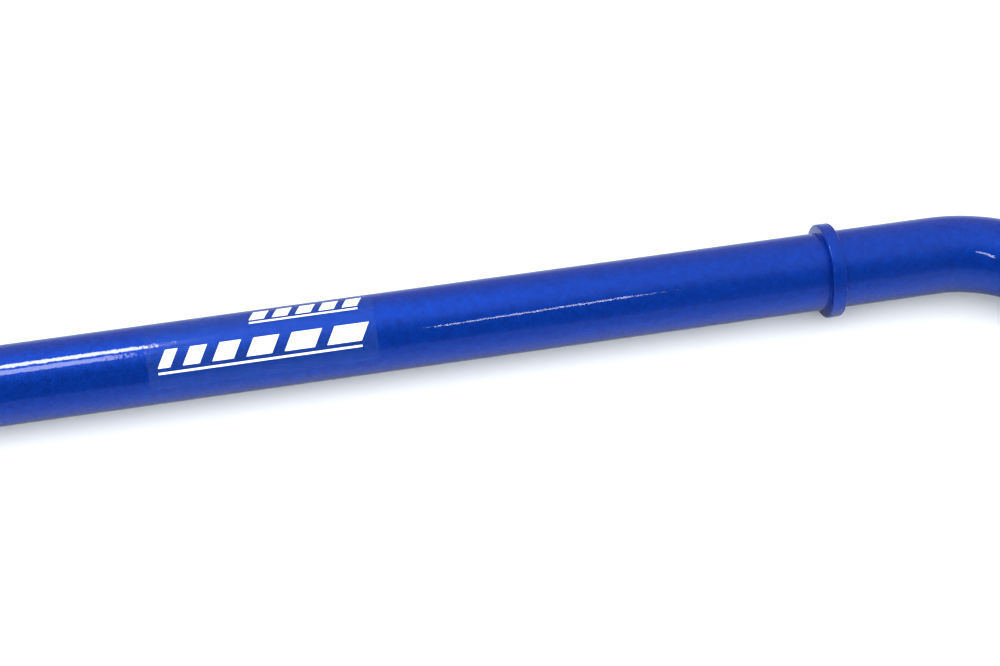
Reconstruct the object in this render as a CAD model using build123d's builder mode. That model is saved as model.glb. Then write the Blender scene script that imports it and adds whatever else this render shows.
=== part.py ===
from build123d import *
import os
from math import cos, radians, sin

# Sway bar (anti-roll bar) of a car: a bent, painted steel tube with two stop rings, a forged
# two-hole lever end welded on each arm, and a clear decal with a white graphic on one side.
# Millimetres. The origin is on the axis of the centre section, midway between the two ends.
# +X points to the right end, both arms reach towards -Y, and +Z is up. The bar lies flat: its
# axis stays in the XY plane, and the rings and lever ends touch a table at Z = -15.4.

# Tube
tube_diameter = 25.4
tube_wall = 4.0

# Axis of the right half, from the middle of the bar outwards
centre_run = 318.2
shoulder_radius = 50.8
shoulder_angle = 62.0
arm_run = 85.0
elbow_radius = 60.0
elbow_angle = 90.0 - shoulder_angle
end_run = 28.0

# Stop ring: flat strip rolled round the tube, its ends closed by a weld on the hidden side
ring_inner_face_x = 280.0
ring_width = 4.6
ring_thickness = 2.7
ring_edge_fillet = 0.6
ring_gap = 3.0
ring_gap_angle = -20.0
ring_weld_crown = 0.6

# Lever end: spigot in the tube, round boss, flattening neck, and a flat paddle with two holes
spigot_clearance = 0.05
spigot_length = 18.0
spigot_chamfer = 1.5
boss_length = 10.0
neck_length = 35.0
paddle_thickness = 9.0
paddle_height = 30.8
paddle_edge_radius = 1.5
corner_arc = 8.0
first_hole_from_neck = 14.0
hole_pitch = 25.0
hole_diameter = 10.5

# Weld between tube and lever end, in a V groove
groove_depth = 2.0
weld_toe = 0.6
weld_crown = 0.9

# Decal on the right half. Angles go round the tube from the -Y side upwards.
film_start_x = 61.8
film_length = 71.4
film_low_angle = 10.0
film_high_angle = 130.0
film_thickness = 0.08
ink_thickness = 0.05
graphic_angle = 77.0
stripe_start_x = 64.9
stripe_widths = (3.8, 5.2, 6.6, 8.0, 9.4, 10.8)
stripe_gap = 3.9
stripe_low_angle = 42.0
stripe_high_angle = 67.0
stripe_slant = 3.0
rule_low_angle = 33.0
rule_high_angle = 36.0
dash_start_x = 94.4
dash_width = 4.8
dash_gap = 2.5
dash_count = 5
dash_low_angle = 97.0
dash_high_angle = 116.0
dash_slant = 1.8
dash_rule_low_angle = 90.0
dash_rule_high_angle = 93.0

tube_radius = tube_diameter / 2
bore_radius = tube_radius - tube_wall
ring_radius = tube_radius + ring_thickness
film_radius = tube_radius + film_thickness
ink_radius = film_radius + ink_thickness

os.makedirs("parts", exist_ok=True)


def save(piece, name):
    """Label a finished piece and write it as its own STEP file."""
    piece.label = name
    export_step(piece, f"parts/{name}.step")


# The axis of the right half: straight centre run, shoulder bend, arm, elbow bend, end run
with BuildLine() as right_axis:
    centre = Line((0, 0), (centre_run, 0))
    shoulder = JernArc(centre @ 1, centre % 1, shoulder_radius, -shoulder_angle)
    arm = Line(shoulder @ 1, shoulder @ 1 + (shoulder % 1) * arm_run)
    elbow = JernArc(arm @ 1, arm % 1, elbow_radius, -elbow_angle)
    end = Line(elbow @ 1, elbow @ 1 + (elbow % 1) * end_run)

# Where the tube stops and the lever end begins; local +Z runs on towards the tip
tube_end = end @ 1
tip_plane = Plane(origin=tube_end, x_dir=(1, 0, 0), z_dir=(0, -1, 0))

# One half of the bent tube, its free end bevelled for the weld
with BuildPart() as bar_tube_right:
    with BuildSketch(Plane.YZ):
        Circle(tube_radius)
        Circle(bore_radius, mode=Mode.SUBTRACT)
    sweep(path=right_axis.line)
    end_circles = bar_tube_right.edges().group_by(Axis.Y)[0]
    chamfer(end_circles.sort_by(SortBy.RADIUS)[-1], groove_depth)

# Stop ring: a C of flat strip with its outer edges rounded
with BuildPart() as right_stop_ring:
    with BuildSketch(Plane.YZ.offset(ring_inner_face_x)):
        Circle(ring_radius)
        Circle(tube_radius, mode=Mode.SUBTRACT)
        with PolarLocations(ring_radius, 1, start_angle=ring_gap_angle):
            Rectangle(4 * ring_thickness, ring_gap, mode=Mode.SUBTRACT)
    extrude(amount=ring_width)
    outer_edges = right_stop_ring.edges().filter_by(GeomType.CIRCLE).group_by(SortBy.RADIUS)[-1]
    fillet(outer_edges, ring_edge_fillet)

# The weld that fills the gap between the strip's two ends, slightly proud of the ring
with BuildPart() as right_ring_weld:
    with BuildSketch(Plane.YZ.offset(ring_inner_face_x)):
        Circle(ring_radius + ring_weld_crown)
        Circle(tube_radius, mode=Mode.SUBTRACT)
        with PolarLocations(ring_radius, 1, start_angle=ring_gap_angle):
            Rectangle(4 * ring_thickness, ring_gap, mode=Mode.INTERSECT)
    extrude(amount=ring_width)
    crown_edges = right_ring_weld.edges().filter_by(GeomType.CIRCLE).group_by(SortBy.RADIUS)[-1]
    fillet(crown_edges, ring_edge_fillet)

# Lever end: the round boss flattens into an upright paddle with a round tip
paddle_start = boss_length + neck_length
outer_hole_distance = paddle_start + first_hole_from_neck + hole_pitch
outer_hole = (tube_end.Y - outer_hole_distance, 0)
inner_hole = (tube_end.Y - outer_hole_distance + hole_pitch, 0)
paddle_plane = Plane.YZ.offset(tube_end.X - paddle_thickness / 2)
with BuildPart() as right_end_forging:
    # paddle, its rim rounded all along except where the neck joins it
    with BuildSketch(paddle_plane):
        with Locations(outer_hole):
            Circle(paddle_height / 2)
            Rectangle(first_hole_from_neck + hole_pitch, paddle_height, align=(Align.MIN, Align.CENTER))
    extrude(amount=paddle_thickness)
    rim_edges = right_end_forging.faces().filter_by(Axis.X).edges().filter_by(Axis.Z, reverse=True)
    fillet(rim_edges, paddle_edge_radius)
    # neck, from a rounded rectangle back to a circle cut into as many edges
    with BuildSketch(tip_plane.offset(boss_length)):
        with BuildLine():
            for quarter in range(4):
                CenterArc((0, 0), tube_radius, 45 - corner_arc / 2 + 90 * quarter, corner_arc)
                CenterArc((0, 0), tube_radius, 45 + corner_arc / 2 + 90 * quarter, 90 - corner_arc)
        make_face()
    with BuildSketch(tip_plane.offset(paddle_start)):
        RectangleRounded(paddle_thickness, paddle_height, paddle_edge_radius)
    loft()
    # boss, bevelled for the weld, and the spigot inside the tube
    with BuildSketch(tip_plane):
        Circle(tube_radius)
    extrude(amount=boss_length)
    chamfer(right_end_forging.edges().group_by(Axis.Y)[-1], groove_depth)
    with BuildSketch(tip_plane):
        Circle(bore_radius - spigot_clearance)
    extrude(amount=-spigot_length)
    chamfer(right_end_forging.edges().group_by(Axis.Y)[-1], spigot_chamfer)
    # bolt holes for the link
    with BuildSketch(paddle_plane):
        with Locations(outer_hole, inner_hole):
            Circle(hole_diameter / 2)
    extrude(amount=paddle_thickness, mode=Mode.SUBTRACT)

# The bead round the joint of tube and lever end
with BuildPart() as right_end_weld:
    with BuildSketch(Plane(origin=tube_end)):
        with BuildLine():
            half_width = groove_depth + weld_toe
            Line((tube_radius - groove_depth, 0), (tube_radius, groove_depth))
            Line((tube_radius, groove_depth), (tube_radius, half_width))
            ThreePointArc(
                (tube_radius, half_width),
                (tube_radius + weld_crown, 0),
                (tube_radius, -half_width),
            )
            Line((tube_radius, -half_width), (tube_radius, -groove_depth))
            Line((tube_radius, -groove_depth), (tube_radius - groove_depth, 0))
        make_face()
    revolve(axis=Axis(tube_end, (0, 1, 0)))

# The left half is the right half seen in a mirror
with BuildPart() as bar_tube_left:
    mirror(bar_tube_right.part, about=Plane.YZ)
with BuildPart() as left_stop_ring:
    mirror(right_stop_ring.part, about=Plane.YZ)
with BuildPart() as left_ring_weld:
    mirror(right_ring_weld.part, about=Plane.YZ)
with BuildPart() as left_end_forging:
    mirror(right_end_forging.part, about=Plane.YZ)
with BuildPart() as left_end_weld:
    mirror(right_end_weld.part, about=Plane.YZ)

# Clear film of the decal, a thin shell bent round the front and top of the tube
with BuildPart() as decal_film:
    with BuildSketch(Plane.YZ.offset(film_start_x)):
        with BuildLine():
            first_angle = 180 - film_high_angle
            sweep_angle = film_high_angle - film_low_angle
            inside = CenterArc((0, 0), tube_radius, first_angle, sweep_angle)
            outside = CenterArc((0, 0), film_radius, first_angle, sweep_angle)
            Line(inside @ 0, outside @ 0)
            Line(inside @ 1, outside @ 1)
        make_face()
    extrude(amount=film_length)


def height_at(angle):
    """Height on the graphic's plane of the ink line that lies at this angle round the tube."""
    return film_radius * sin(radians(angle - graphic_angle))


def slanted_bar(start_x, width, low_angle, high_angle, slant):
    """One leaning bar of the graphic, from start_x along the tube."""
    low = height_at(low_angle)
    high = height_at(high_angle)
    Polygon(
        (start_x, low),
        (start_x + width, low),
        (start_x + width + slant, high),
        (start_x + slant, high),
        align=None,
    )


# White ink on the film: leaning stripes over a rule, and a row of small dashes higher up
graphic_direction = (0, -cos(radians(graphic_angle)), sin(radians(graphic_angle)))
graphic_plane = Plane(origin=(0, 0, 0), x_dir=(1, 0, 0), z_dir=graphic_direction)
with BuildPart() as decal_print:
    with BuildSketch(Plane.YZ.offset(film_start_x)):
        Circle(ink_radius)
        Circle(film_radius, mode=Mode.SUBTRACT)
    extrude(amount=film_length)
    with BuildSketch(graphic_plane):
        stripe_x = stripe_start_x
        for stripe_width in stripe_widths:
            slanted_bar(stripe_x, stripe_width, stripe_low_angle, stripe_high_angle, stripe_slant)
            stripe_x += stripe_width + stripe_gap
        rule_length = stripe_x - stripe_gap - stripe_start_x
        slanted_bar(stripe_start_x, rule_length, rule_low_angle, rule_high_angle, 0)
        for dash in range(dash_count):
            dash_x = dash_start_x + dash * (dash_width + dash_gap)
            slanted_bar(dash_x, dash_width, dash_low_angle, dash_high_angle, dash_slant)
        dash_rule_length = dash_count * (dash_width + dash_gap) - dash_gap
        slanted_bar(dash_start_x, dash_rule_length, dash_rule_low_angle, dash_rule_high_angle, 0)
    extrude(amount=tube_diameter, mode=Mode.INTERSECT)

save(bar_tube_left.part, "bar_tube_left")
save(bar_tube_right.part, "bar_tube_right")
save(left_stop_ring.part, "left_stop_ring")
save(right_stop_ring.part, "right_stop_ring")
save(left_ring_weld.part, "left_ring_weld")
save(right_ring_weld.part, "right_ring_weld")
save(left_end_forging.part, "left_end_forging")
save(right_end_forging.part, "right_end_forging")
save(left_end_weld.part, "left_end_weld")
save(right_end_weld.part, "right_end_weld")
save(decal_film.part, "decal_film")
save(decal_print.part, "decal_print")
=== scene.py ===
"""Looks of a sway bar: a glossy metallic blue tube with stop rings, lever ends and a decal.

Metres, in the row's own frame: the centre section's axis is the X axis, the arms reach
towards -Y, and the rings and lever ends stand on the floor below.
"""

import math

import bpy
import numpy as np
from mathutils import Matrix, Vector


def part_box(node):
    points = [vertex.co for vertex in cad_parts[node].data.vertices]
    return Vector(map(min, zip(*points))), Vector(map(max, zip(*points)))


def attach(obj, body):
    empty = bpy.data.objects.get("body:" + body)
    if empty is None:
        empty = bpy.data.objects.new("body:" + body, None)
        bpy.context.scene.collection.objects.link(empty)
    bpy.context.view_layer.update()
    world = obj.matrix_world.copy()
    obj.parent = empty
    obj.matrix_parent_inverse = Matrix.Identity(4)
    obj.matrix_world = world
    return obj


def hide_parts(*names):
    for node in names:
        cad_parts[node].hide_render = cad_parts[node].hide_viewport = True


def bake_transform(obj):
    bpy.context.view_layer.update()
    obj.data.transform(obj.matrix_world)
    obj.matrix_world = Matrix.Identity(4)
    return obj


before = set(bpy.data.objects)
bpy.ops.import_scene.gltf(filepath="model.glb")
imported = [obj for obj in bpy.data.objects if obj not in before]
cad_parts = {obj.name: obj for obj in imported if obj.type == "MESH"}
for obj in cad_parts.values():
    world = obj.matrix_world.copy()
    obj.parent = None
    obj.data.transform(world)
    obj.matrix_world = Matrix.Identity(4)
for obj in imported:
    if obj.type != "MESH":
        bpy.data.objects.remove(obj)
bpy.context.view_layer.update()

MM = 0.001

# The tube's axis, as in the CAD source
CENTRE_RUN = 318.2 * MM
SHOULDER_RADIUS = 50.8 * MM
SHOULDER_ANGLE = math.radians(62)
ARM_RUN = 85 * MM
ELBOW_RADIUS = 60 * MM
END_RUN = 28 * MM
GROOVE_DEPTH = 2 * MM
TUBE_WALL = 4 * MM

# Places and sizes read from the frame
TUBE_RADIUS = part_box("bar_tube_right")[1].z
RING_LOW, RING_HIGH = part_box("right_stop_ring")
RING_RADIUS = RING_HIGH.z
FLOOR_Z = -RING_RADIUS
WELD_LOW, WELD_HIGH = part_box("right_end_weld")
TUBE_END = Vector(((WELD_LOW.x + WELD_HIGH.x) / 2, (WELD_LOW.y + WELD_HIGH.y) / 2, 0))
FILM_LOW, FILM_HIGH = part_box("decal_film")

AROUND = 128


# ---------------------------------------------------------------- camera and studio

CAMERA_TARGET = Vector((0.17289, -0.00454, -0.00297))
CAMERA_DISTANCE = 0.640
CAMERA_AZIMUTH = math.radians(10.56)
CAMERA_ELEVATION = math.radians(48.992)
LENS = 72

# The studio's light on matt surfaces, from behind and from the front
WHITE_LIGHT = (0.95, 0.985, 0.98, 1)
BACK_FILL = 1.5
FRONT_FILL = 2.6

# What the studio shows in reflections: direction, the span of its dot product that fades from
# dim to bright, and the brightness at either end. The last two dim what the first gives.
CEILING = ((0, 0.34, 0.94), 0.0, 0.95, 0.58, 0.78)
FRONT_SHADE = ((-0.15, -0.84, 0.52), 0.62, 0.97, 1.0, 0.2)
LEFT_SHADE = ((-1, 0, 0), 0.35, 0.95, 1.0, 0.25)

# The table: its two tones, and its tones in reflections, which carry painted shade: dimmer, darker and
# warmer by how open it is there, from right under the bar outwards
TABLE_DARKER = (0.86, 0.865, 0.87, 1)
TABLE_LIGHTER = (0.89, 0.893, 0.895, 1)
PAINTED_SHADE_REACH = 0.06
# painted shade: the table's colour as reflections see it, set by how open the spot is
TABLE_MIRRORED_PAINTED_SHADE = (
    (0.40, (0.50, 0.49, 0.22, 1)),
    (0.64, (0.78, 0.81, 0.52, 1)),
    (0.80, (0.82, 0.87, 0.72, 1)),
    (0.96, (0.40, 0.44, 0.50, 1)),
)

# Lamps: name, distance from the bar's axis, start and end as X and angle, width, radiance.
# Two overhead strips end left of the decal, and a slim one hangs in front on the right.
LAMPS = (
    ("strip_back", 1.2, (-0.17, 102.2), (0.004, 102.2), 0.22, 42),
    ("strip_front", 1.2, (-0.19, 84.2), (-0.022, 84.2), 0.26, 14),
    ("slim", 0.7, (0.216, 44.2), (0.351, 53.1), 0.033, 20),
)


def direction(azimuth, elevation):
    """Unit vector from the object towards a viewer at that azimuth and elevation."""
    flat = math.cos(elevation)
    return Vector((-math.sin(azimuth) * flat, -math.cos(azimuth) * flat, math.sin(elevation)))


def make_camera():
    """The camera of the main view."""
    data = bpy.data.cameras.new("camera")
    data.lens = LENS
    data.sensor_width = 36
    camera = bpy.data.objects.new("camera", data)
    back = direction(CAMERA_AZIMUTH, CAMERA_ELEVATION)
    camera.location = CAMERA_TARGET + back * CAMERA_DISTANCE
    camera.rotation_euler = (-back).to_track_quat("-Z", "Y").to_euler()
    bpy.context.scene.collection.objects.link(camera)
    bpy.context.scene.camera = camera


def strip_light(name, start, end, width, radiance):
    """A long lamp from start to end that faces the bar and shows only in reflections."""
    start, end = Vector(start), Vector(end)
    data = bpy.data.lights.new(name, "AREA")
    data.shape = "RECTANGLE"
    data.size = (end - start).length
    data.size_y = width
    data.energy = radiance * math.pi * data.size * data.size_y
    middle = (start + end) / 2
    along = (end - start).normalized()
    away = middle - Vector((middle.x, 0, 0))
    away = (away - away.dot(along) * along).normalized()
    light = bpy.data.objects.new(name, data)
    turn = Matrix((along, away.cross(along), away)).transposed()
    light.matrix_world = Matrix.Translation(middle) @ turn.to_4x4()
    light.visible_diffuse = False
    bpy.context.scene.collection.objects.link(light)


def above(x, angle, distance):
    """A place at that distance from the bar's axis; the angle goes from the front upwards."""
    angle = math.radians(angle)
    return (x, -distance * math.cos(angle), distance * math.sin(angle))


def add_node(tree, kind, **values):
    """A new shader node; the values set its inputs, whose names' spaces are underscores."""
    made = tree.nodes.new(kind)
    for name, value in values.items():
        made.inputs[name.replace("_", " ")].default_value = value
    return made


def make_world():
    """A pale studio: soft white light, strongest from the front, on everything matt; and for
    reflections a ceiling that is dimmer towards the back wall and dark low in front."""
    world = bpy.data.worlds.new("studio")
    world.use_nodes = True
    tree = world.node_tree
    link = tree.links.new
    background = tree.nodes["Background"]
    background.inputs["Color"].default_value = WHITE_LIGHT
    coordinate = add_node(tree, "ShaderNodeTexCoord")

    def facing(way, low, high, dim, bright):
        """Brightness that goes from dim to bright as the direction turns to face way."""
        dot = add_node(tree, "ShaderNodeVectorMath")
        dot.operation = "DOT_PRODUCT"
        dot.inputs[1].default_value = way
        shade = add_node(tree, "ShaderNodeMapRange", From_Min=low, From_Max=high)
        shade.inputs["To Min"].default_value = dim
        shade.inputs["To Max"].default_value = bright
        shade.interpolation_type = "SMOOTHSTEP"
        link(coordinate.outputs["Generated"], dot.inputs[0])
        link(dot.outputs["Value"], shade.inputs["Value"])
        return shade.outputs["Result"]

    seen = facing(*CEILING)
    for shade in (FRONT_SHADE, LEFT_SHADE):
        dimmed = add_node(tree, "ShaderNodeMath")
        dimmed.operation = "MULTIPLY"
        link(seen, dimmed.inputs[0])
        link(facing(*shade), dimmed.inputs[1])
        seen = dimmed.outputs["Value"]
    path = add_node(tree, "ShaderNodeLightPath")
    strength = add_node(tree, "ShaderNodeMix")
    link(facing((0, -1, 0), -1.0, 1.0, BACK_FILL, FRONT_FILL), strength.inputs["A"])
    link(path.outputs["Is Glossy Ray"], strength.inputs["Factor"])
    link(seen, strength.inputs["B"])
    link(strength.outputs["Result"], background.inputs["Strength"])
    bpy.context.scene.world = world


def make_floor():
    """A plain white table that reaches past every view; in reflections its colour carries painted shade.
    """
    reach = 20
    mesh = bpy.data.meshes.new("floor")
    corners = [(-reach, -reach), (reach, -reach), (reach, reach), (-reach, reach)]
    mesh.from_pydata([(x, y, FLOOR_Z) for x, y in corners], [], [(0, 1, 2, 3)])
    material = bpy.data.materials.new("white_table")
    material.use_nodes = True
    tree = material.node_tree
    shader = tree.nodes["Principled BSDF"]
    shader.inputs["Roughness"].default_value = 0.55
    grain = add_node(tree, "ShaderNodeTexNoise", Scale=900.0, Detail=3.0)
    tone = add_node(tree, "ShaderNodeMix")
    tone.data_type = "RGBA"
    tone.inputs["A"].default_value = TABLE_DARKER
    tone.inputs["B"].default_value = TABLE_LIGHTER
    tree.links.new(grain.outputs["Fac"], tone.inputs["Factor"])
    # painted shade: in reflections it is dimmer, and darker and warmer where something stands close to
    # it, by how open it is there
    painted_shade_openness = add_node(tree, "ShaderNodeAmbientOcclusion", Distance=PAINTED_SHADE_REACH)
    painted_shade_openness.samples = 8
    painted_contact_shade = add_node(tree, "ShaderNodeValToRGB")
    elements = painted_contact_shade.color_ramp.elements
    while len(elements) < len(TABLE_MIRRORED_PAINTED_SHADE):
        elements.new(0.5)
    for element, (position, colour) in zip(elements, TABLE_MIRRORED_PAINTED_SHADE):
        element.position = position
        element.color = colour
    tree.links.new(painted_shade_openness.outputs["AO"], painted_contact_shade.inputs["Fac"])
    # only reflections see the painted shade; camera and diffuse rays see the plain table
    path = add_node(tree, "ShaderNodeLightPath")
    mirrored = add_node(tree, "ShaderNodeMix")
    mirrored.data_type = "RGBA"
    tree.links.new(path.outputs["Is Glossy Ray"], mirrored.inputs["Factor"])
    tree.links.new(tone.outputs["Result"], mirrored.inputs["A"])
    tree.links.new(painted_contact_shade.outputs["Color"], mirrored.inputs["B"])
    tree.links.new(mirrored.outputs["Result"], shader.inputs["Base Color"])
    mesh.materials.append(material)
    floor = bpy.data.objects.new("floor", mesh)
    bpy.context.scene.collection.objects.link(floor)


def make_lights():
    """The lamps that give the paint its streaks."""
    for name, far, start, end, width, radiance in LAMPS:
        strip_light(name, above(*start, far), above(*end, far), width, radiance)


# ---------------------------------------------------------------- materials

PAINT_DEEP = (0.0009, 0.032, 0.315, 1)
PAINT_LIGHT = (0.002, 0.058, 0.485, 1)
PAINT_AT_GRAZING = (0.03, 0.12, 0.62, 1)
FLAKE_TILT = 0.22
FLAKE_TONE = 0.35
FILM_TINT = (0.05, 0.12, 0.45, 1)
INK_DARKER = (0.84, 0.87, 0.92, 1)
INK_LIGHTER = (0.95, 0.96, 0.98, 1)


def make_paint():
    """Metallic blue under a clear coat: fine flakes, slightly clouded, with orange peel on top."""
    material = bpy.data.materials.new("metallic_blue_paint")
    material.use_nodes = True
    tree = material.node_tree
    link = tree.links.new
    shader = tree.nodes["Principled BSDF"]
    shader.inputs["Metallic"].default_value = 0.94
    shader.inputs["Roughness"].default_value = 0.58
    shader.inputs["Specular IOR Level"].default_value = 0.0
    shader.inputs["Coat Weight"].default_value = 1.0
    shader.inputs["Coat Roughness"].default_value = 0.05
    shader.inputs["Coat IOR"].default_value = 1.33
    shader.inputs["Specular Tint"].default_value = PAINT_AT_GRAZING
    place = add_node(tree, "ShaderNodeTexCoord")
    # flakes: small cells of their own brightness and tilt
    flakes = add_node(tree, "ShaderNodeTexVoronoi", Scale=3200.0)
    link(place.outputs["Object"], flakes.inputs["Vector"])
    tilt = add_node(tree, "ShaderNodeVectorMath")
    tilt.operation = "MULTIPLY_ADD"
    tilt.inputs[1].default_value = (FLAKE_TILT,) * 3
    tilt.inputs[2].default_value = (-FLAKE_TILT / 2,) * 3
    link(flakes.outputs["Color"], tilt.inputs[0])
    surface = add_node(tree, "ShaderNodeNewGeometry")
    leaning = add_node(tree, "ShaderNodeVectorMath")
    leaning.operation = "ADD"
    link(surface.outputs["Normal"], leaning.inputs[0])
    link(tilt.outputs["Vector"], leaning.inputs[1])
    unit = add_node(tree, "ShaderNodeVectorMath")
    unit.operation = "NORMALIZE"
    link(leaning.outputs["Vector"], unit.inputs[0])
    link(unit.outputs["Vector"], shader.inputs["Normal"])
    # colour: deep blue, lighter where the flakes crowd
    clouds = add_node(tree, "ShaderNodeTexNoise", Scale=420.0, Detail=4.0, Roughness=0.65)
    link(place.outputs["Object"], clouds.inputs["Vector"])
    cell_tone = add_node(tree, "ShaderNodeSeparateColor")
    link(flakes.outputs["Color"], cell_tone.inputs["Color"])
    crowd = add_node(tree, "ShaderNodeMath")
    crowd.operation = "MULTIPLY_ADD"
    crowd.inputs[1].default_value = FLAKE_TONE
    link(cell_tone.outputs["Red"], crowd.inputs[0])
    link(clouds.outputs["Fac"], crowd.inputs[2])
    ramp = add_node(tree, "ShaderNodeValToRGB")
    ramp.color_ramp.elements[0].position = 0.35
    ramp.color_ramp.elements[0].color = PAINT_DEEP
    ramp.color_ramp.elements[1].position = 0.95
    ramp.color_ramp.elements[1].color = PAINT_LIGHT
    link(crowd.outputs["Value"], ramp.inputs["Fac"])
    link(ramp.outputs["Color"], shader.inputs["Base Color"])
    # orange peel in the clear coat
    peel = add_node(tree, "ShaderNodeTexNoise", Scale=480.0, Detail=2.0, Roughness=0.5)
    link(place.outputs["Object"], peel.inputs["Vector"])
    waves = add_node(tree, "ShaderNodeBump", Strength=0.10, Distance=0.0003)
    link(peel.outputs["Fac"], waves.inputs["Height"])
    link(waves.outputs["Normal"], shader.inputs["Coat Normal"])
    return material


def make_film():
    """Clear decal film: almost invisible, with its own smoother gloss."""
    material = bpy.data.materials.new("clear_film")
    material.use_nodes = True
    tree = material.node_tree
    shader = tree.nodes["Principled BSDF"]
    shader.inputs["Base Color"].default_value = FILM_TINT
    shader.inputs["Alpha"].default_value = 0.05
    shader.inputs["IOR"].default_value = 1.45
    place = add_node(tree, "ShaderNodeTexCoord")
    haze = add_node(tree, "ShaderNodeTexNoise", Scale=160.0, Detail=3.0)
    tree.links.new(place.outputs["Object"], haze.inputs["Vector"])
    gloss = add_node(tree, "ShaderNodeMapRange", To_Min=0.06, To_Max=0.2)
    tree.links.new(haze.outputs["Fac"], gloss.inputs["Value"])
    tree.links.new(gloss.outputs["Result"], shader.inputs["Roughness"])
    return material


def make_ink():
    """White printed ink, very slightly uneven."""
    material = bpy.data.materials.new("white_ink")
    material.use_nodes = True
    tree = material.node_tree
    shader = tree.nodes["Principled BSDF"]
    shader.inputs["Roughness"].default_value = 0.3
    shader.inputs["Coat Weight"].default_value = 0.4
    place = add_node(tree, "ShaderNodeTexCoord")
    grain = add_node(tree, "ShaderNodeTexNoise", Scale=2500.0, Detail=3.0)
    tree.links.new(place.outputs["Object"], grain.inputs["Vector"])
    tone = add_node(tree, "ShaderNodeMix")
    tone.data_type = "RGBA"
    tone.inputs["A"].default_value = INK_DARKER
    tone.inputs["B"].default_value = INK_LIGHTER
    tree.links.new(grain.outputs["Fac"], tone.inputs["Factor"])
    tree.links.new(tone.outputs["Result"], shader.inputs["Base Color"])
    return material


# ---------------------------------------------------------------- mesh helpers


def make_piece(name, points, faces, material):
    """A smooth mesh object of the sway bar."""
    mesh = bpy.data.meshes.new(name)
    mesh.from_pydata([tuple(p) for p in points], [], faces)
    mesh.validate()
    mesh.shade_smooth()
    mesh.set_sharp_from_angle(angle=math.radians(38))
    mesh.materials.append(material)
    piece = bpy.data.objects.new(name, mesh)
    bpy.context.scene.collection.objects.link(piece)
    return piece


def skin_faces(rows, around, closed=False):
    """Quads between neighbouring rings of points; closed joins the last ring to the first."""
    faces = []
    for row in range(rows if closed else rows - 1):
        here = row * around
        there = ((row + 1) % rows) * around
        for i in range(around):
            j = (i + 1) % around
            faces.append((here + i, here + j, there + j, there + i))
    return faces


def circle_points(centre, side, radius, around=AROUND):
    """Points of an upright circle; side is its level unit direction."""
    turn = np.linspace(0, 2 * math.pi, around, endpoint=False)
    up = np.array((0, 0, 1.0))
    return (
        np.array(centre)
        + radius * np.cos(turn)[:, None] * np.array(side)
        + radius * np.sin(turn)[:, None] * up
    )


# ---------------------------------------------------------------- the tube


def right_axis(step):
    """Points and headings of the right half's axis, from the middle outwards."""
    runs = [
        ("line", CENTRE_RUN, 0),
        ("arc", SHOULDER_RADIUS, SHOULDER_ANGLE),
        ("line", ARM_RUN, 0),
        ("arc", ELBOW_RADIUS, math.pi / 2 - SHOULDER_ANGLE),
        ("line", END_RUN - GROOVE_DEPTH, 0),
    ]
    x, y, heading = 0.0, 0.0, 0.0
    stations = [(x, y, heading)]
    for kind, size, turn in runs:
        length = size if kind == "line" else size * turn
        count = max(2, round(length / step))
        for i in range(1, count + 1):
            part = i / count
            if kind == "line":
                gone = size * part
                stations.append((x + math.cos(heading) * gone, y - math.sin(heading) * gone, heading))
            else:
                now = heading + turn * part
                stations.append(
                    (
                        x + size * (math.sin(now) - math.sin(heading)),
                        y - size * (math.cos(heading) - math.cos(now)),
                        now,
                    )
                )
        x, y, heading = stations[-1]
    return stations


def whole_axis(step):
    """Stations from the left end to the right end; heading is the turn towards -Y."""
    right = right_axis(step)
    left = [(-x, y, -heading) for x, y, heading in right[:0:-1]]
    return left + right


def tube_ring(station, radius):
    """The tube's circle of that radius at a station."""
    x, y, heading = station
    return circle_points((x, y, 0), (math.sin(heading), math.cos(heading), 0), radius)


def make_tube(paint):
    """The whole bent tube as one closed wall, bevelled at both ends."""
    outside = whole_axis(3 * MM)
    inside = outside[::-6]
    first_end = (-TUBE_END.x, TUBE_END.y, -math.pi / 2)
    last_end = (TUBE_END.x, TUBE_END.y, math.pi / 2)
    bore = TUBE_RADIUS - TUBE_WALL
    rings = [tube_ring(station, TUBE_RADIUS) for station in outside]
    rings.append(tube_ring(last_end, TUBE_RADIUS - GROOVE_DEPTH))
    rings.append(tube_ring(last_end, bore))
    rings += [tube_ring(station, bore) for station in inside]
    rings.append(tube_ring(first_end, bore))
    rings.append(tube_ring(first_end, TUBE_RADIUS - GROOVE_DEPTH))
    points = np.concatenate(rings)
    tube = make_piece("bar_tube", points, skin_faces(len(rings), AROUND, closed=True), paint)
    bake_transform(tube)
    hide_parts("bar_tube_left", "bar_tube_right")


# ---------------------------------------------------------------- stop rings

RING_EDGE = 0.65 * MM
PAINT_FILLET = 0.15 * MM
GAP_ANGLE = math.radians(-20)
GAP_HALF = math.radians(5)
RING_WELD_HALF = math.radians(12)
RING_WELD_CROWN = 0.55 * MM


def arc_points(centre_x, centre_r, radius, start, stop, steps=6):
    """Points of a small arc in the ring's profile plane."""
    turns = np.linspace(math.radians(start), math.radians(stop), steps)
    return [(centre_x + radius * math.cos(t), centre_r + radius * math.sin(t)) for t in turns]


def ring_profile():
    """Half section of a ring, from inner face to outer face, with paint drawn into its corners."""
    low_x, high_x = RING_LOW.x, RING_HIGH.x
    foot = TUBE_RADIUS + PAINT_FILLET
    shoulder = RING_RADIUS - RING_EDGE
    profile = arc_points(low_x - PAINT_FILLET, foot, PAINT_FILLET, -90, 0)
    profile += arc_points(low_x + RING_EDGE, shoulder, RING_EDGE, 180, 90, 8)
    profile += arc_points(high_x - RING_EDGE, shoulder, RING_EDGE, 90, 0, 8)
    profile += arc_points(high_x + PAINT_FILLET, foot, PAINT_FILLET, 180, 270)
    return np.array(profile)


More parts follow.
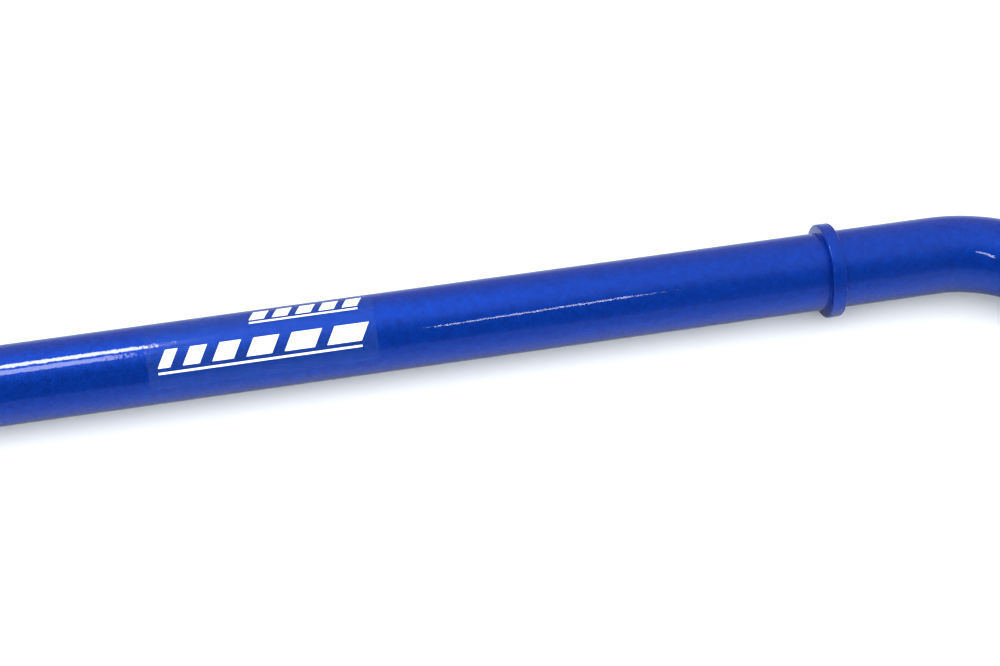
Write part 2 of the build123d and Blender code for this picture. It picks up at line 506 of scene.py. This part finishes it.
def turned(profile, turns, side):
    """The profile placed at each turn round the X axis; side is -1 for the left half."""
    rows = []
    for turn, row in zip(turns, profile):
        x = side * row[:, 0]
        rows.append(np.stack([x, row[:, 1] * math.cos(turn), row[:, 1] * math.sin(turn)], axis=1))
    return rows


def closed_sector(rows):
    """Faces of a sector whose rows are closed outlines, with a cap on each end."""
    count = len(rows[0])
    faces = skin_faces(len(rows), count)
    faces.append(tuple(range(count))[::-1])
    faces.append(tuple(range((len(rows) - 1) * count, len(rows) * count)))
    return faces


def make_ring(paint, name, body, side):
    """One stop ring, open at its gap."""
    outline = ring_profile()
    buried = np.array([(outline[-1][0], TUBE_RADIUS - 0.1 * MM), (outline[0][0], TUBE_RADIUS - 0.1 * MM)])
    outline = np.concatenate([outline, buried])
    turns = np.linspace(GAP_ANGLE + GAP_HALF, GAP_ANGLE - GAP_HALF + 2 * math.pi, 180)
    rows = turned([outline] * len(turns), turns, side)
    ring = make_piece(name + "_band", np.concatenate(rows), closed_sector(rows), paint)
    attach(ring, body)
    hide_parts(name)


def make_ring_weld(paint, name, body, side):
    """The weld bead across the ring's gap: the ring's section swollen and rippled."""
    outline = ring_profile()
    along = np.concatenate([[0], np.cumsum(np.linalg.norm(np.diff(outline, axis=0), axis=1))])
    samples = np.linspace(0, along[-1], 70)
    outline = np.stack([np.interp(samples, along, outline[:, k]) for k in (0, 1)], axis=1)
    tangent = np.gradient(outline, axis=0)
    tangent /= np.linalg.norm(tangent, axis=1)[:, None]
    outward = np.stack([-tangent[:, 1], tangent[:, 0]], axis=1)
    turns = np.linspace(GAP_ANGLE - RING_WELD_HALF, GAP_ANGLE + RING_WELD_HALF, 41)
    sections = []
    for turn in turns:
        across = (turn - GAP_ANGLE) / RING_WELD_HALF
        bulge = math.sqrt(max(0.0, 1 - across * across))
        ripple = 1 + 0.22 * np.cos(2 * math.pi * (samples / (1.3 * MM) + 0.6 * across * across))
        swell = RING_WELD_CROWN * bulge * ripple + 0.02 * MM
        section = outline + outward * swell[:, None]
        foot = TUBE_RADIUS - 0.1 * MM
        buried = np.array([(section[-1][0], foot), (section[0][0], foot)])
        sections.append(np.concatenate([section, buried]))
    rows = turned(sections, turns, side)
    weld = make_piece(name + "_bead", np.concatenate(rows), closed_sector(rows), paint)
    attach(weld, body)
    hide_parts(name)


# ---------------------------------------------------------------- welds at the lever ends

END_WELD_HALF = 2.9 * MM
END_WELD_CROWN = 0.95 * MM
RIPPLES = 42


def make_end_weld(paint, name, body, side):
    """The bead round the end of the tube, with the overlapping ripples of a hand weld."""
    across = np.linspace(-1, 1, 25)
    turns = np.linspace(0, 2 * math.pi, RIPPLES * 10, endpoint=False)
    random = np.random.default_rng(7 if side > 0 else 11)
    strength = np.interp(turns, np.linspace(0, 2 * math.pi, RIPPLES), random.uniform(0.7, 1.3, RIPPLES))
    rings = []
    for share in across:
        bulge = math.sqrt(max(0.0, 1 - share * share))
        phase = RIPPLES * turns + 2.6 * (1 - share * share)
        ripple = 0.13 * MM * bulge * strength * np.cos(phase)
        radius = TUBE_RADIUS + END_WELD_CROWN * bulge - 0.02 * MM + ripple
        wander = 0.18 * MM * np.sin(3 * turns + 1) + 0.1 * MM * np.sin(7 * turns)
        y = TUBE_END.y + END_WELD_HALF * share + wander
        x = side * (TUBE_END.x + radius * np.cos(turns))
        rings.append(np.stack([x, y, radius * np.sin(turns)], axis=1))
    buried = TUBE_RADIUS - GROOVE_DEPTH / 2
    x = side * (TUBE_END.x + buried * np.cos(turns))
    rings.append(np.stack([x, np.full(len(turns), TUBE_END.y), buried * np.sin(turns)], axis=1))
    faces = skin_faces(len(rings), len(turns), closed=True)
    weld = make_piece(name + "_bead", np.concatenate(rings), faces, paint)
    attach(weld, body)
    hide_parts(name)


# ---------------------------------------------------------------- decal

FILM_RADIUS = TUBE_RADIUS + 0.08 * MM
INK_RADIUS = FILM_RADIUS + 0.05 * MM
FILM_ANGLES = (10, 130)
STRIPE_START = 64.9 * MM
STRIPE_WIDTHS = (3.8, 5.2, 6.6, 8.0, 9.4, 10.8)
STRIPE_GAP = 3.9 * MM
STRIPE_ANGLES = (42, 67)
STRIPE_SLANT = 3 * MM
RULE_ANGLES = (33, 36)
DASH_START = 94.4 * MM
DASH_WIDTH = 4.8 * MM
DASH_GAP = 2.5 * MM
DASH_COUNT = 5
DASH_ANGLES = (97, 116)
DASH_SLANT = 1.8 * MM
DASH_RULE_ANGLES = (90, 93)


def curved_patch(start, width, angles, slant, low_radius, high_radius):
    """A thin closed patch bent round the tube; its high edge is shifted along by slant."""
    across = max(2, round((angles[1] - angles[0]) / 1.5)) + 1
    along = max(2, round(width / (2.5 * MM))) + 1
    points, faces = [], []
    for radius in (low_radius, high_radius):
        for share_up in np.linspace(0, 1, across):
            angle = math.radians(angles[0] + (angles[1] - angles[0]) * share_up)
            for share in np.linspace(0, 1, along):
                x = start + width * share + slant * share_up
                points.append((x, -radius * math.cos(angle), radius * math.sin(angle)))
    size = across * along
    for i in range(across - 1):
        for j in range(along - 1):
            corner = i * along + j
            quad = (corner, corner + 1, corner + along + 1, corner + along)
            faces.append(quad[::-1])
            faces.append(tuple(size + k for k in quad))
    rim = list(range(along)) + [i * along + along - 1 for i in range(1, across)]
    rim += [size - 2 - j for j in range(along - 1)] + [i * along for i in range(across - 2, 0, -1)]
    for here, there in zip(rim, rim[1:] + rim[:1]):
        faces.append((here, there, size + there, size + here))
    return points, faces


def make_decal(film_material, ink_material):
    """The clear film and the white graphic on it: leaning stripes, rules and dashes."""
    points, faces = curved_patch(
        FILM_LOW.x, FILM_HIGH.x - FILM_LOW.x, FILM_ANGLES, 0, TUBE_RADIUS + 0.01 * MM, FILM_RADIUS
    )
    film = make_piece("decal_clear_film", points, faces, film_material)
    marks = []
    x = STRIPE_START
    for width in STRIPE_WIDTHS:
        marks.append((x, width * MM, STRIPE_ANGLES, STRIPE_SLANT))
        x += width * MM + STRIPE_GAP
    marks.append((STRIPE_START, x - STRIPE_GAP - STRIPE_START, RULE_ANGLES, 0))
    for dash in range(DASH_COUNT):
        marks.append((DASH_START + dash * (DASH_WIDTH + DASH_GAP), DASH_WIDTH, DASH_ANGLES, DASH_SLANT))
    marks.append((DASH_START, DASH_COUNT * (DASH_WIDTH + DASH_GAP) - DASH_GAP, DASH_RULE_ANGLES, 0))
    all_points, all_faces = [], []
    for start, width, angles, slant in marks:
        points, faces = curved_patch(start, width, angles, slant, FILM_RADIUS, INK_RADIUS)
        all_faces += [tuple(len(all_points) + k for k in face) for face in faces]
        all_points += points
    ink = make_piece("decal_white_ink", all_points, all_faces, ink_material)
    for piece, node in ((film, "decal_film"), (ink, "decal_print")):
        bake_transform(piece)
        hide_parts(node)


# ---------------------------------------------------------------- build

make_camera()
make_world()
make_lights()
make_floor()
paint = make_paint()
make_tube(paint)
for side, half in ((-1, "left"), (1, "right")):
    make_ring(paint, f"{half}_stop_ring", f"{half}_half", side)
    make_ring_weld(paint, f"{half}_ring_weld", f"{half}_half", side)
    make_end_weld(paint, f"{half}_end_weld", f"{half}_half", side)
    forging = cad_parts[f"{half}_end_forging"]
    forging.data.materials.clear()
    forging.data.materials.append(paint)
make_decal(make_film(), make_ink())

bpy.context.scene.view_settings.view_transform = "Standard"
